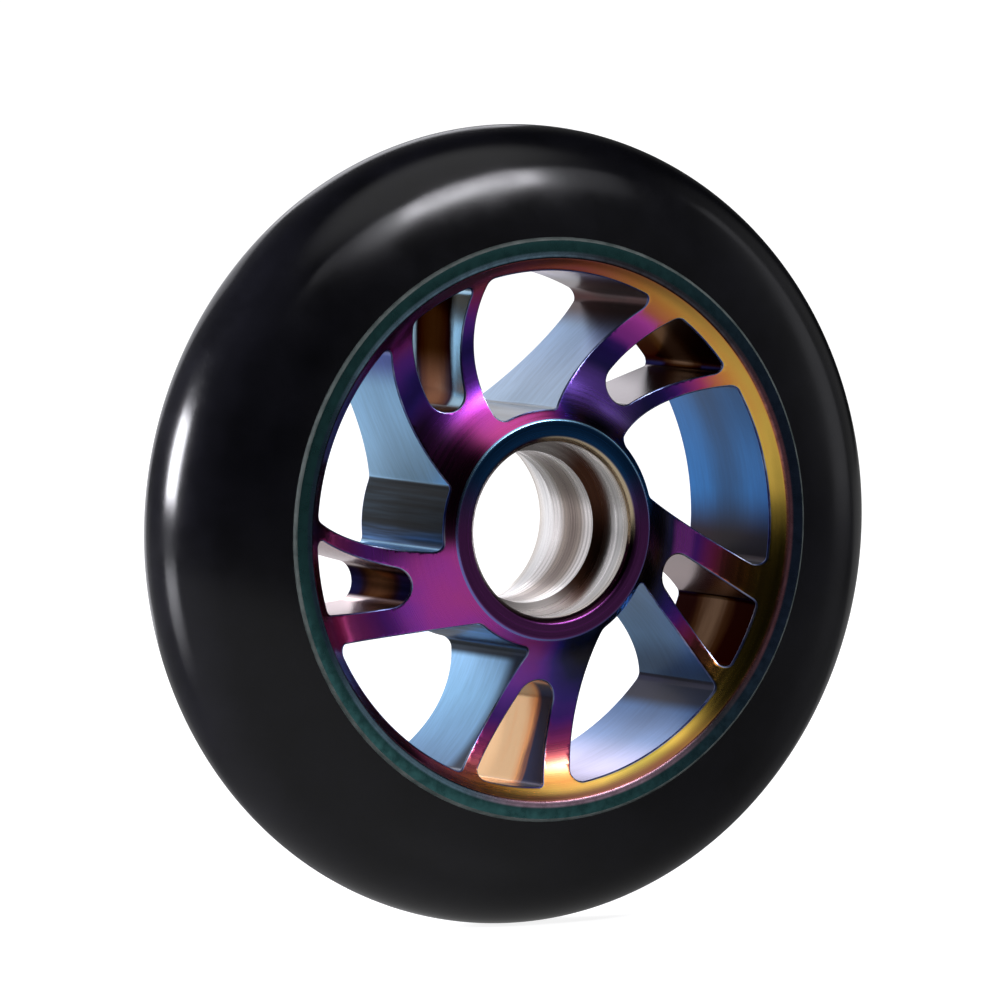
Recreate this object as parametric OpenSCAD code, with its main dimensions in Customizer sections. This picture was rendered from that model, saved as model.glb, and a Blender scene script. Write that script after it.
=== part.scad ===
// Stunt scooter wheel: a machined five-spoke core with a polyurethane tyre cast onto its rim.
// The wheel's middle is the origin and its axle runs along Y. The front face looks along -Y.
// All lengths are in millimetres and all angles in degrees.

/* [Tyre] */
// Outer diameter of the tyre
tyre_d = 100; // [98:0.5:120]
// Radius of the round tread, seen in section
crown_r = 9.3; // [8:0.1:10]
// Radius of the slightly bulging flanks, seen in section
flank_r = 34; // [26:1:60]

/* [Hub] */
// Width of the hub from one bearing face to the other
hub_w = 24; // [23.6:0.1:26]
// Outside diameter of a bearing, which is the diameter of its seat
bearing_d = 22; // [19:0.5:22.5]
// Depth of each bearing seat
bearing_w = 7; // [5:0.5:9]
// Diameter of the bore between the two seats
land_d = 19; // [12:0.5:20]
// Lead-in chamfer at the mouth of each seat
seat_chamfer = 0.8; // [0.2:0.1:1]
// Radius of the hub's flat end face, out to the dish
hub_face_r = 13.7; // [13.4:0.1:15]
// Round on the outer edge of the hub's end face
hub_edge_r = 0.5; // [0.2:0.1:0.8]

/* [Rim] */
// Width of the rim from lip to lip
rim_w = 23.3; // [22.5:0.1:24]
// Radius of the rim, where the lips end and the tyre begins
rim_r = 36.4; // [36:0.1:38]
// Width of the flat lips, from the dish out to the rim's edge
lip_w = 2.5; // [2:0.1:3.4]
// Round on the inner edge of each lip
lip_edge_r = 1; // [0.4:0.1:1.2]
// Bevel on the outer edge of each lip
lip_bevel = 0.4; // [0.2:0.1:0.6]
// Width of the rim's edge flanges under the tyre
flange_w = 2.2; // [1.6:0.1:3]
// Width of the rib in the middle of the rim
rib_w = 4.4; // [3:0.1:6]
// Depth of the two grooves that lock the tyre to the rim
groove_depth = 1.6; // [0.8:0.1:2]
// How far the grooves widen under their edges
groove_undercut = 0.5; // [0.2:0.1:0.9]

/* [Dished faces] */
// Thickness of the core at the deepest ring of its dished faces
web_t = 13.9; // [10:0.1:16]

/* [Windows] */
// Number of spokes, with one window between each pair
spoke_count = 5; // [4:1:5]
// Ring of the dish that is left between the hub's end face and the windows
hub_ring = 1.25; // [0.8:0.05:2.5]
// Ring of the dish that is left between the windows and the lip
rim_ring = 1.75; // [1:0.05:3]
// Angle of the leading side's inner end
lead_in_angle = 45; // [43:0.5:47]
// Angle of the leading side's outer end
lead_out_angle = 32; // [30:0.5:34]
// Radius of the leading side, which bows out of the window
lead_curve_r = 35; // [28:1:60]
// Angle of the trailing side's inner end
trail_in_angle = 13.8; // [11:0.2:16]
// Angle of the trailing side's outer end
trail_out_angle = -11.3; // [-13:0.1:-9]
// Radius of the trailing side, which bows into the window
trail_curve_r = 140; // [60:5:300]
// Round in the window's corners at the hub
window_hub_r = 1; // [0.6:0.1:1.5]
// Round in the window's corners at the rim
window_rim_r = 1.1; // [0.6:0.1:1.6]

/* [Slots] */
// Radius of the slot's round inner end
slot_end_r = 2.5; // [2:0.1:2.8]
// Distance of the slot's inner tip from the axle
slot_tip = 19; // [18:0.1:20.5]
// Width of the thin leg beside the slot's inner end
thin_leg_in = 2.3; // [1.8:0.1:3]
// Width of the thin leg at the rim
thin_leg_out = 1.9; // [1.5:0.1:2.6]
// Width of the thick leg at the rim
thick_leg_out = 3.9; // [3:0.1:5]
// Radius of the slot's side along the thin leg
thin_side_r = 54; // [40:1:90]
// Radius of the slot's side along the thick leg
thick_side_r = 55; // [45:1:90]
// Round in the slot's corners at the rim
slot_corner_r = 0.9; // [0.4:0.1:1.2]

/* [Hidden] */
$fn = 96;
core_color = "#7a2f86";
tyre_color = "#17171a";

// Half widths and radii of the section
hub_h = hub_w / 2;
rim_h = rim_w / 2;
web_h = web_t / 2;
land_h = hub_h - bearing_w;
land_r = land_d / 2;
seat_r = bearing_d / 2;
lip_in_r = rim_r - lip_w;
groove_r = rim_r - groove_depth;
through = hub_w + 2;
// How far a round reaches past the sides that it joins, so that it meets them in a clean edge
round_overlap = 0.004;

// The dish is a round trough. It touches the web's thickness at its deepest ring and meets the
// hub's end face and the lip at their edges.
hub_rise = hub_h - web_h;
rim_rise = rim_h - web_h;
dish_ring_r = trough_ring(hub_face_r, hub_rise, lip_in_r, rim_rise);
dish_r = ((hub_face_r - dish_ring_r) ^ 2 + hub_rise ^ 2) / (2 * hub_rise);
dish_centre = [dish_ring_r, web_h + dish_r];

// The window lies between two rings and two swept sides
window_in_r = hub_face_r + hub_ring;
window_out_r = lip_in_r - rim_ring;
pitch = 360 / spoke_count;
axle = [0, 0];
lead_centre = arc_centre(
    polar(window_in_r, lead_in_angle), polar(window_out_r, lead_out_angle), lead_curve_r);
trail_centre = arc_centre(
    polar(window_in_r, trail_in_angle), polar(window_out_r, trail_out_angle), trail_curve_r);
next_trail_centre = turned(trail_centre, pitch);

// The slot's round end stands off the thin leg, and its sides are arcs that run on from that end
slot_end_centre = meet(
    axle, slot_tip + slot_end_r, lead_centre, lead_curve_r + thin_leg_in + slot_end_r, 1);
thin_side_foot = meet(axle, window_out_r, lead_centre, lead_curve_r + thin_leg_out, 1);
thick_side_foot = meet(axle, window_out_r, next_trail_centre, trail_curve_r - thick_leg_out, 1);
thin_side_centre = meet(slot_end_centre, thin_side_r + slot_end_r, thin_side_foot, thin_side_r, -1);
thick_side_centre = meet(slot_end_centre, thick_side_r - slot_end_r, thick_side_foot, thick_side_r, -1);

// The tyre's crown and its flanks, which start at the bevel of the lip
crown_centre = [tyre_d / 2 - crown_r, 0];
flank_foot = [rim_r, rim_h - lip_bevel];
flank_centre = meet(crown_centre, flank_r - crown_r, flank_foot, flank_r, 1);

function polar(r, a) = r * [cos(a), sin(a)];
function turned(p, a) = [p.x * cos(a) - p.y * sin(a), p.x * sin(a) + p.y * cos(a)];
function flipped(p) = [p.x, -p.y];
function toward(from, to, length) = from + (to - from) / norm(to - from) * length;

// Point where two circles meet, left (side 1) or right (side -1) of the line between their centres
function meet(c1, r1, c2, r2, side) =
    let (gap = norm(c2 - c1), u = (c2 - c1) / gap)
    let (along = (r1 ^ 2 - r2 ^ 2 + gap ^ 2) / (2 * gap))
    c1 + along * u + side * sqrt(r1 ^ 2 - along ^ 2) * [-u.y, u.x];

// Centre of an arc through two points that lies to the right of the way from the first to the second
function arc_centre(p, q, r) =
    let (chord = norm(q - p))
    (p + q) / 2 + [q.y - p.y, p.x - q.x] / chord * sqrt(r ^ 2 - chord ^ 2 / 4);

// Radius of a trough's deepest ring, from the radius and the height of its two edges
function trough_ring(r1, rise1, r2, rise2) =
    let (a = rise2 - rise1)
    let (b = rise2 * r1 - rise1 * r2)
    let (c = rise2 * r1 ^ 2 - rise1 * r2 ^ 2 + rise1 * rise2 * (rise1 - rise2))
    abs(a) < 0.001 ? (r1 + r2) / 2 : (b + sqrt(b ^ 2 - a * c)) / a;

// A round in the corner of two circles: each circle is [centre, radius, 1 if the shape is inside it or -1].
// The result is the round's centre and radius, where it starts and ends, and the way out to the sharp tip.
function corner(one, two, r, side) =
    let (tip = meet(one[0], one[1], two[0], two[1], side))
    let (mid = meet(one[0], one[1] - one[2] * r, two[0], two[1] - two[2] * r, side))
    [mid, r, toward(one[0], mid, one[1]), toward(two[0], mid, two[1]), tip - mid];

// A round where the dish runs out into a flat face at height h, on its hub side (-1) or its rim side (1)
function dish_corner(h, r, side) =
    let (reach = function (length, rise) sqrt(length ^ 2 - rise ^ 2))
    let (tip = [dish_ring_r + side * reach(dish_r, dish_centre.y - h), h])
    let (mid = [dish_ring_r + side * reach(dish_r + r, dish_centre.y - h + r), h - r])
    [mid, r, [mid.x, h], toward(dish_centre, mid, dish_r), tip - mid];

// The strip of a corner that its round cuts away, from the round's centre out past the sharp tip
function corner_strip(c) = [c[0], c[2], c[2] + 2 * c[4], c[3] + 2 * c[4], c[3]];

module disc(centre, r) {
    translate(centre) circle(r);
}

// Cuts the sharp tip off each corner, round a disc that lies in the corner
module round_corners(corners) {
    difference() {
        children();
        for (c = corners) difference() {
            polygon(corner_strip(c));
            disc(c[0], c[1] + round_overlap);
        }
    }
}

// Stands a shape that was drawn round the axle on its side, so that the axle lies along Y
module along_axle() {
    rotate([90, 0, 0]) children();
}

// The rim's section outside the windows, with its flanges, the two locking grooves and the middle rib
function rim_side() = [
    [rim_r - lip_bevel, rim_h],
    flank_foot,
    [rim_r, rim_h - flange_w],
    [groove_r, rim_h - flange_w + groove_undercut],
    [groove_r, rib_w / 2 - groove_undercut],
    [rim_r, rib_w / 2],
];

// One half of the section before the dish is turned, from the land bore out to the middle of the rim
function blank_side() = concat([
    [land_r, land_h],
    [seat_r, land_h],
    [seat_r, hub_h - seat_chamfer],
    [seat_r + seat_chamfer, hub_h],
    [dish_ring_r, hub_h],
    [dish_ring_r, rim_h],
], rim_side());

// Adds the mirror image of one half of a section, out along the lower half and back along the upper one
function both_sides(points) =
    concat([for (p = points) flipped(p)], [for (i = [len(points) - 1 : -1 : 0]) points[i]]);

module core_section() {
    edges = [dish_corner(hub_h, hub_edge_r, -1), dish_corner(rim_h, lip_edge_r, 1)];
    both_edges = concat(edges, [
        for (e = edges) [flipped(e[0]), e[1], flipped(e[2]), flipped(e[3]), flipped(e[4])],
    ]);
    round_corners(both_edges) difference() {
        polygon(both_sides(blank_side()));
        disc(dish_centre, dish_r);
        disc(flipped(dish_centre), dish_r);
    }
}

module window() {
    rim = [axle, window_out_r, 1];
    hub = [axle, window_in_r, -1];
    lead = [lead_centre, lead_curve_r, 1];
    trail = [trail_centre, trail_curve_r, -1];
    round_corners([
        corner(rim, lead, window_rim_r, 1),
        corner(rim, trail, window_rim_r, 1),
        corner(hub, lead, window_hub_r, 1),
        corner(hub, trail, window_hub_r, 1),
    ]) difference() {
        intersection() {
            disc(axle, window_out_r);
            disc(lead_centre, lead_curve_r);
        }
        disc(axle, window_in_r);
        disc(trail_centre, trail_curve_r);
    }
}

module slot() {
    rim = [axle, window_out_r, 1];
    thin = [thin_side_centre, thin_side_r, -1];
    thick = [thick_side_centre, thick_side_r, 1];
    round_corners([
        corner(rim, thin, slot_corner_r, 1),
        corner(rim, thick, slot_corner_r, 1),
        corner(thin, thick, slot_end_r, 1),
    ]) difference() {
        intersection() {
            disc(axle, window_out_r);
            disc(thick_side_centre, thick_side_r);
        }
        disc(thin_side_centre, thin_side_r);
    }
}

module core() {
    color(core_color) difference() {
        along_axle() rotate_extrude() core_section();
        along_axle() linear_extrude(through, center = true)
            for (i = [0 : spoke_count - 1]) rotate(i * pitch) {
                window();
                slot();
            }
    }
}

module tyre_section() {
    front = [flank_centre, flank_r, 1];
    back = [flipped(flank_centre), flank_r, 1];
    difference() {
        round_corners([corner(front, back, crown_r, -1)]) intersection() {
            disc(front[0], front[1]);
            disc(back[0], back[1]);
        }
        polygon(both_sides(concat([[-tyre_d, hub_w], [rim_r, hub_w]], rim_side())));
    }
}

module tyre() {
    color(tyre_color) along_axle() rotate_extrude() tyre_section();
}

core();
tyre();
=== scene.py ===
"""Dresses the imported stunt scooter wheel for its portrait.

The wheel has two pieces: a machined five-spoke core with an oil-slick coat, and a black urethane tyre cast
onto its rim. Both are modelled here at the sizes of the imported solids, with the fine edge breaks and the
tool marks that only the finish shows. The axle lies along Y and the front face looks along -Y.
"""

import logging
import math
from dataclasses import dataclass, field
from enum import Enum, IntEnum
from functools import partial, reduce
from typing import ClassVar, Dict, List, Sequence, Tuple, Union

import bpy
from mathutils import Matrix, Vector

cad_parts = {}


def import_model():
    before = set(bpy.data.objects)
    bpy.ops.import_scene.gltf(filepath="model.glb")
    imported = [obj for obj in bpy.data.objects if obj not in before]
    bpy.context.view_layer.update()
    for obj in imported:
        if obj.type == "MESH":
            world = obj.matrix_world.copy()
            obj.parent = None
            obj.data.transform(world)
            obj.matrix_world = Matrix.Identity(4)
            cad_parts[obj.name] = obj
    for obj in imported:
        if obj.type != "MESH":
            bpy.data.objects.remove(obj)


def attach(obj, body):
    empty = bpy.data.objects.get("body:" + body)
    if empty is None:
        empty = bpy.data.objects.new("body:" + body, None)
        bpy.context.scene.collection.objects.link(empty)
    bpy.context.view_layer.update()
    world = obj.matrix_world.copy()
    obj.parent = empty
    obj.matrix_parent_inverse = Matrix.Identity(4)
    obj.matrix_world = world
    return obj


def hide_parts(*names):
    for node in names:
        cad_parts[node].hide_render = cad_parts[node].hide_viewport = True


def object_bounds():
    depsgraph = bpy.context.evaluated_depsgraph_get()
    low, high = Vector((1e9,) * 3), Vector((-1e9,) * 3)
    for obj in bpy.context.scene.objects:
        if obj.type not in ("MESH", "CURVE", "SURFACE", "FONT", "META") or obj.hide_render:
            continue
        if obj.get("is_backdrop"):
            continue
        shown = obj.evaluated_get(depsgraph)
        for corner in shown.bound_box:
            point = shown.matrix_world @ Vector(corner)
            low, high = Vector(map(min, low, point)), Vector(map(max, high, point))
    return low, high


LOG = logging.getLogger("wheel")
MM = 0.001
BODY = "root"
AXLE_DIRECTION = (0.0, 1.0, 0.0)
SPOKES = 5
PICTURE_PIXELS = 1000
MERGE_DISTANCE = 0.002 * MM
SAME_PLACE = 0.001 * MM
TOOL_MARK_DEPTH = 0.02 * MM
LAMP_TINT = (0.94, 0.94, 1.0)
WHITE = "ffffff"

Point = Tuple[float, float]
Place = Tuple[float, float, float]
Colour = Tuple[float, float, float, float]
Socket = bpy.types.NodeSocket
Feed = Union[Socket, float, str, Sequence[float]]
Stops = Sequence[Tuple[float, str]]


class Skin(IntEnum):
    """Material slots of the core, one for each way in which its metal is finished."""

    DISH = 0
    HUB = 1
    LIP = 2
    WALL = 3
    SLOT = 4
    EDGE = 5
    BORE = 6
    SEAM = 7
    LEVEL_SLOT = 8


class Within(Enum):
    """Which side of a circle a cut-out lies on."""

    INSIDE = 1
    OUTSIDE = -1


class At(Enum):
    """What a finish can follow at a point of the wheel, with lengths in millimetres.

    The radius, the depth along the axle and the height over the middle plane say where the point lies. The
    lean of the surface away from the axle and its turn to the side say how it faces. Right and up are shares
    of the radius, the turn is the angle in degrees within one spoke's share, and the spot is the coordinates.
    """

    RADIUS = "Radius"
    DEPTH = "Depth"
    HEIGHT = "Height"
    LEAN = "Lean"
    SIDEWAYS = "Sideways"
    RIGHT = "Right"
    UP = "Up"
    TURN = "Turn"
    SPOT = "Spot"


class Kind(Enum):
    """Kinds of sockets that a node group has."""

    VALUE = "NodeSocketFloat"
    COLOUR = "NodeSocketColor"
    VECTOR = "NodeSocketVector"


def srgb(code: str) -> Colour:
    """Turn a written colour into the linear colour that shaders take.

    Args:
        code: Six hexadecimal digits, as on a colour card.

    Returns:
        Red, green, blue and an alpha of 1.
    """
    parts = [int(code[i : i + 2], 16) / 255 for i in (0, 2, 4)]
    linear = [p / 12.92 if p <= 0.04045 else ((p + 0.055) / 1.055) ** 2.4 for p in parts]
    return (linear[0], linear[1], linear[2], 1.0)


def direction(azimuth: float, elevation: float) -> Vector:
    """Return the direction from the wheel to a place in the studio.

    Args:
        azimuth: Degrees from the front (-Y) towards the right (+X).
        elevation: Degrees above the axle.

    Returns:
        The direction, of length 1.
    """
    a, e = math.radians(azimuth), math.radians(elevation)
    return Vector((math.sin(a) * math.cos(e), -math.cos(a) * math.cos(e), math.sin(e)))


# Plane geometry, drawn in X and Z as seen from the front


def meet(c1: Point, r1: float, c2: Point, r2: float, side: int) -> Point:
    """Find where two circles meet.

    Args:
        c1: Centre of the first circle.
        r1: Radius of the first circle.
        c2: Centre of the second circle.
        r2: Radius of the second circle.
        side: 1 for the point left of the line from c1 to c2, or -1 for the one on its right.

    Returns:
        The point.
    """
    gap = math.dist(c1, c2)
    u = ((c2[0] - c1[0]) / gap, (c2[1] - c1[1]) / gap)
    along = (r1 * r1 - r2 * r2 + gap * gap) / (2 * gap)
    away = side * math.sqrt(r1 * r1 - along * along)
    return (c1[0] + along * u[0] - away * u[1], c1[1] + along * u[1] + away * u[0])


def polar(radius: float, degrees: float) -> Point:
    """Return the point at a radius and an angle round the axle."""
    return (radius * math.cos(math.radians(degrees)), radius * math.sin(math.radians(degrees)))


def toward(start: Point, end: Point, length: float) -> Point:
    """Return the point at a length from start on the way to end."""
    share = length / math.dist(start, end)
    return (start[0] + (end[0] - start[0]) * share, start[1] + (end[1] - start[1]) * share)


def arc_centre(p: Point, q: Point, radius: float) -> Point:
    """Find the centre of an arc through two points, on the right of the way from p to q.

    Args:
        p: Start of the arc.
        q: End of the arc.
        radius: Radius of the arc.

    Returns:
        The centre.
    """
    chord = math.dist(p, q)
    rise = math.sqrt(radius * radius - chord * chord / 4) / chord
    return ((p[0] + q[0]) / 2 + (q[1] - p[1]) * rise, (p[1] + q[1]) / 2 + (p[0] - q[0]) * rise)


def arc_points(centre: Point, start: Point, end: Point, ccw: bool, step: float) -> List[Point]:
    """Walk along an arc from start to just before end.

    Args:
        centre: Centre of the arc.
        start: Where the arc starts.
        end: Where the arc ends.
        ccw: True to walk counter-clockwise.
        step: Longest step between two points.

    Returns:
        The points, without the last one.
    """
    radius = math.dist(centre, start)
    a0 = math.atan2(start[1] - centre[1], start[0] - centre[0])
    a1 = math.atan2(end[1] - centre[1], end[0] - centre[0])
    sweep = (a1 - a0) % (2 * math.pi) if ccw else -((a0 - a1) % (2 * math.pi))
    count = max(2, math.ceil(abs(sweep) * radius / step))
    angles = [a0 + sweep * i / count for i in range(count)]
    return [(centre[0] + radius * math.cos(a), centre[1] + radius * math.sin(a)) for a in angles]


@dataclass(frozen=True)
class Circle:
    """One circle of a cut-out's outline, with the side of it that is cut away."""

    centre: Point
    radius: float
    within: Within

    def inset(self, amount: float) -> float:
        """Return the radius of the circle moved into the cut-out by an amount."""
        return self.radius - self.within.value * amount


@dataclass(frozen=True)
class Corner:
    """The round between one circle of an outline and the next.

    The side is 1 where the corner lies left of the line between the circles' centres, and otherwise -1.
    """

    radius: float
    side: int


@dataclass
class Outline:
    """A closed outline of arcs with a round in each corner, walked counter-clockwise."""

    circles: Sequence[Circle]
    corners: Sequence[Corner]
    side_step: float = 0.4 * MM
    round_step: float = 0.14 * MM
    points: List[Point] = field(default_factory=list)
    ways_out: List[Point] = field(default_factory=list)

    def rounded(self, index: int) -> Tuple[Point, Point, Point]:
        """Lay a round into the corner after a circle.

        Args:
            index: Number of the circle that the corner follows.

        Returns:
            The round's centre, where it leaves the first circle and where it joins the next one.
        """
        one, two = self.circles[index], self.circles[(index + 1) % len(self.circles)]
        corner = self.corners[index]
        r1, r2 = one.inset(corner.radius), two.inset(corner.radius)
        middle = meet(one.centre, r1, two.centre, r2, corner.side)
        return middle, toward(one.centre, middle, one.radius), toward(two.centre, middle, two.radius)

    def add(self, points: List[Point], centre: Point, sign: int) -> None:
        """Add the points of one arc.

        Args:
            points: The points, in order.
            centre: Centre of the arc.
            sign: 1 where the way out of the cut-out runs from the centre, or -1 where it runs to it.
        """
        for p in points:
            length = math.dist(p, centre) * sign
            self.points.append(p)
            self.ways_out.append(((p[0] - centre[0]) / length, (p[1] - centre[1]) / length))

    def walk(self) -> "Outline":
        """Fill in the outline's points, and at each of them the way out of the cut-out.

        Returns:
            The outline itself.
        """
        rounds = [self.rounded(i) for i in range(len(self.circles))]
        for i, circle in enumerate(self.circles):
            inside = circle.within is Within.INSIDE
            side = arc_points(circle.centre, rounds[i - 1][2], rounds[i][1], inside, self.side_step)
            self.add(side, circle.centre, circle.within.value)
            middle, leave, join = rounds[i]
            self.add(arc_points(middle, leave, join, True, self.round_step), middle, 1)
        return self


# Work on meshes


def make_active(obj: bpy.types.Object) -> None:
    """Select one object alone and make it the active one.

    Args:
        obj: The object.
    """
    if bpy.context.object and bpy.context.object.mode != "OBJECT":
        bpy.ops.object.mode_set(mode="OBJECT")
    bpy.ops.object.select_all(action="DESELECT")
    obj.select_set(True)
    bpy.context.view_layer.objects.active = obj


def edit_all(obj: bpy.types.Object) -> None:
    """Open an object in edit mode with all of its mesh selected.

    Args:
        obj: The object.
    """
    make_active(obj)
    bpy.ops.object.mode_set(mode="EDIT")
    bpy.ops.mesh.select_all(action="SELECT")


def named_primitive(name: str, places: Sequence[Place]) -> bpy.types.Object:
    """Name the primitive that was just added, and put its vertices in place.

    Args:
        name: Name of the object and of its mesh.
        places: Where each vertex goes, in the primitive's own order.

    Returns:
        The primitive.
    """
    obj = bpy.context.object
    obj.name = obj.data.name = name
    obj.data.vertices.foreach_set("co", [c for place in places for c in place])
    obj.data.update()
    return obj


def close_mesh() -> None:
    """In edit mode, merge what coincides and turn all faces outwards."""
    bpy.ops.mesh.select_all(action="SELECT")
    bpy.ops.mesh.remove_doubles(threshold=MERGE_DISTANCE)
    bpy.ops.mesh.normals_make_consistent(inside=False)
    bpy.ops.object.mode_set(mode="OBJECT")


def turned_body(name: str, section: Sequence[Point], steps: int) -> bpy.types.Object:
    """Turn a closed section round the axle, as on a lathe.

    Args:
        name: Name of the new object.
        section: Radius and Y of each point, in order round the section.
        steps: Number of steps in the full turn.

    Returns:
        The closed body.
    """
    bpy.ops.object.select_all(action="DESELECT")
    bpy.ops.mesh.primitive_circle_add(vertices=len(section), fill_type="NOTHING")
    body = named_primitive(name, [(r, y, 0.0) for r, y in section])
    edit_all(body)
    bpy.ops.mesh.spin(steps=steps, angle=2 * math.pi, center=(0, 0, 0), axis=AXLE_DIRECTION)
    close_mesh()
    return body


def rolled_tube(name: str, rings: Sequence[Sequence[Place]]) -> bpy.types.Object:
    """Roll a grid into a tube that runs through a row of rings, and close both of its ends.

    Args:
        name: Name of the new object.
        rings: Points of each ring, the same number in each.

    Returns:
        The tube, whose faces run round ring by ring.
    """
    bpy.ops.object.select_all(action="DESELECT")
    bpy.ops.mesh.primitive_grid_add(x_subdivisions=len(rings[0]), y_subdivisions=len(rings) - 1)
    tube = named_primitive(name, [place for ring in rings for place in (*ring, ring[0])])
    edit_all(tube)
    bpy.ops.mesh.remove_doubles(threshold=MERGE_DISTANCE)
    for end in (rings[0], rings[-1]):
        close_ring(tube, end[0][1])
    close_mesh()
    return tube


def close_ring(tube: bpy.types.Object, y: float) -> None:
    """In edit mode, put a face on one end of a tube.

    Args:
        tube: The tube.
        y: Where the end lies along Y.
    """
    bpy.ops.mesh.select_all(action="DESELECT")
    bpy.ops.object.mode_set(mode="OBJECT")
    for vertex in tube.data.vertices:
        vertex.select = abs(vertex.co.y - y) < SAME_PLACE
    bpy.ops.object.mode_set(mode="EDIT")
    bpy.ops.mesh.edge_face_add()


def apply_modifier(obj: bpy.types.Object, name: str) -> None:
    """Apply one of an object's modifiers to its mesh."""
    make_active(obj)
    bpy.ops.object.modifier_apply(modifier=name)


def shade_smooth(obj: bpy.types.Object, degrees: float) -> None:
    """Shade an object smooth, with its large faces keeping their own direction.

    Args:
        obj: The object.
        degrees: Edge angle from which on edges stay sharp.
    """
    make_active(obj)
    bpy.ops.object.shade_smooth_by_angle(angle=math.radians(degrees))
    steady = obj.modifiers.new("steady", "WEIGHTED_NORMAL")
    steady.keep_sharp = True
    apply_modifier(obj, steady.name)


# Work on shader nodes


class Graph:
    """Adds nodes to one shader tree and joins them."""

    def __init__(self, tree: bpy.types.NodeTree) -> None:
        """Work on a tree."""
        self.tree = tree

    def node(self, kind: str, **settings: object) -> bpy.types.Node:
        """Add a node.

        Args:
            kind: Blender's name of the node's type, without ShaderNode.
            settings: Values of the node's own settings.

        Returns:
            The node.
        """
        node = self.tree.nodes.new("ShaderNode" + kind)
        for name, value in settings.items():
            setattr(node, name, value)
        return node

    def feed(self, target: Socket, source: Feed) -> None:
        """Link a socket to another one, or set its value.

        Args:
            target: The socket to feed.
            source: Another socket, a value or a written colour.
        """
        if isinstance(source, bpy.types.NodeSocket):
            self.tree.links.new(source, target)
        else:
            target.default_value = srgb(source) if isinstance(source, str) else source

    def feed_row(self, node: bpy.types.Node, *sources: Feed) -> bpy.types.Node:
        """Feed the first inputs of a node in order.

        Args:
            node: The node.
            sources: What each input gets.

        Returns:
            The node.
        """
        for socket, source in zip(node.inputs, sources):
            self.feed(socket, source)
        return node

    def math(self, operation: str, a: Feed, b: Feed = 0.0) -> Socket:
        """Join two values by a Math node, whose operation has Blender's name."""
        return self.feed_row(self.node("Math", operation=operation), a, b).outputs[0]

    def times(self, *factors: Feed) -> Socket:
        """Return the product of some values."""
        return reduce(partial(self.math, "MULTIPLY"), factors)

    def plus(self, *terms: Feed) -> Socket:
        """Return the sum of some values."""
        return reduce(partial(self.math, "ADD"), terms)

    def largest(self, *values: Feed) -> Socket:
        """Return the largest of some values."""
        return reduce(partial(self.math, "MAXIMUM"), values)

    def measure(self, operation: str, *vectors: Feed) -> Socket:
        """Measure one vector or two by a Vector Math node, whose operation has Blender's name."""
        return self.feed_row(self.node("VectorMath", operation=operation), *vectors).outputs["Value"]

    def vector(self, x: Feed, y: Feed, z: Feed) -> Socket:
        """Return a vector of three values."""
        return self.feed_row(self.node("CombineXYZ"), x, y, z).outputs[0]

    def parts(self, vector: Feed) -> Tuple[Socket, ...]:
        """Return the X, Y and Z of a vector."""
        return tuple(self.feed_row(self.node("SeparateXYZ"), vector).outputs)

    def fade(self, value: Feed, low: float, high: float, at_low: Feed = 0.0, at_high: Feed = 1.0) -> Socket:
        """Let a result rise or fall smoothly while a value passes between two limits.

        Args:
            value: What the result follows.
            low: Where the change starts.
            high: Where the change ends.
            at_low: Result at the start.
            at_high: Result at the end.

        Returns:
            The result.
        """
        node = self.node("MapRange", interpolation_type="SMOOTHSTEP")
        return self.feed_row(node, value, low, high, at_low, at_high).outputs[0]

    def mix(self, share: Feed, a: Feed, b: Feed, blend: str = "MIX") -> Socket:
        """Mix two colours.

        Args:
            share: Share of the second colour.
            a: First colour.
            b: Second colour.
            blend: Blender's name of the way to mix.

        Returns:
            The mixed colour.
        """
        node = self.node("Mix", data_type="RGBA", blend_type=blend)
        for index, source in ((0, share), (6, a), (7, b)):
            self.feed(node.inputs[index], source)
        return node.outputs[2]

    def cover(self, colour: Feed, above: Feed, *masks: Feed) -> Socket:
        """Return a colour that another one covers where all masks are 1."""
        return self.mix(self.times(*masks), colour, above)

    def shaded(self, colour: Feed, shade: Socket) -> Socket:
        """Return a colour times a value."""
        return self.mix(1.0, colour, shade, "MULTIPLY")

    def ramp(self, value: Feed, stops: Stops) -> Socket:
        """Look up a colour in a row of written colours.

        Args:
            value: Where to look.
            stops: Place and colour of each stop.

        Returns:
            The colour.
        """
        node = self.node("ValToRGB")
        elements = node.color_ramp.elements
        while len(elements) < len(stops):
            elements.new(1.0)
        for element, (place, code) in zip(elements, stops):
            element.position = place
            element.color = srgb(code)
        return self.feed_row(node, value).outputs[0]

    def noise(self, vector: Feed, scale: float, detail: float = 2.0, rough: float = 0.5) -> Socket:
        """Make a cloudy value from 0 to 1.

        Args:
            vector: Coordinates that it follows.
            scale: Clouds to a unit of the coordinates.
            detail: Number of finer layers.
            rough: Strength of the finer layers.

        Returns:
            The value.
        """
        node = self.node("TexNoise")
        for name, source in zip(("Vector", "Scale", "Detail", "Roughness"), (vector, scale, detail, rough)):
            self.feed(node.inputs[name], source)
        return node.outputs[0]

    def group(self, tree: bpy.types.NodeTree, **inputs: Feed) -> bpy.types.Node:
        """Place a node group.

        Args:
            tree: The group.
            inputs: What its inputs get, by name.

        Returns:
            The group's node.
        """
        node = self.node("Group", node_tree=tree)
        for name, source in inputs.items():
            self.feed(node.inputs[name], source)
        return node

    def bump(self, height: Socket, strength: float, depth: float) -> Socket:
        """Make a normal that follows a height.

        Args:
            height: The height, from 0 to 1.
            strength: How strongly the normal follows it.
            depth: What a height of 1 stands for, in metres.

        Returns:
            The normal.
        """
        node = self.node("Bump")
        for name, source in (("Strength", strength), ("Distance", depth), ("Height", height)):
            self.feed(node.inputs[name], source)
        return node.outputs[0]


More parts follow.
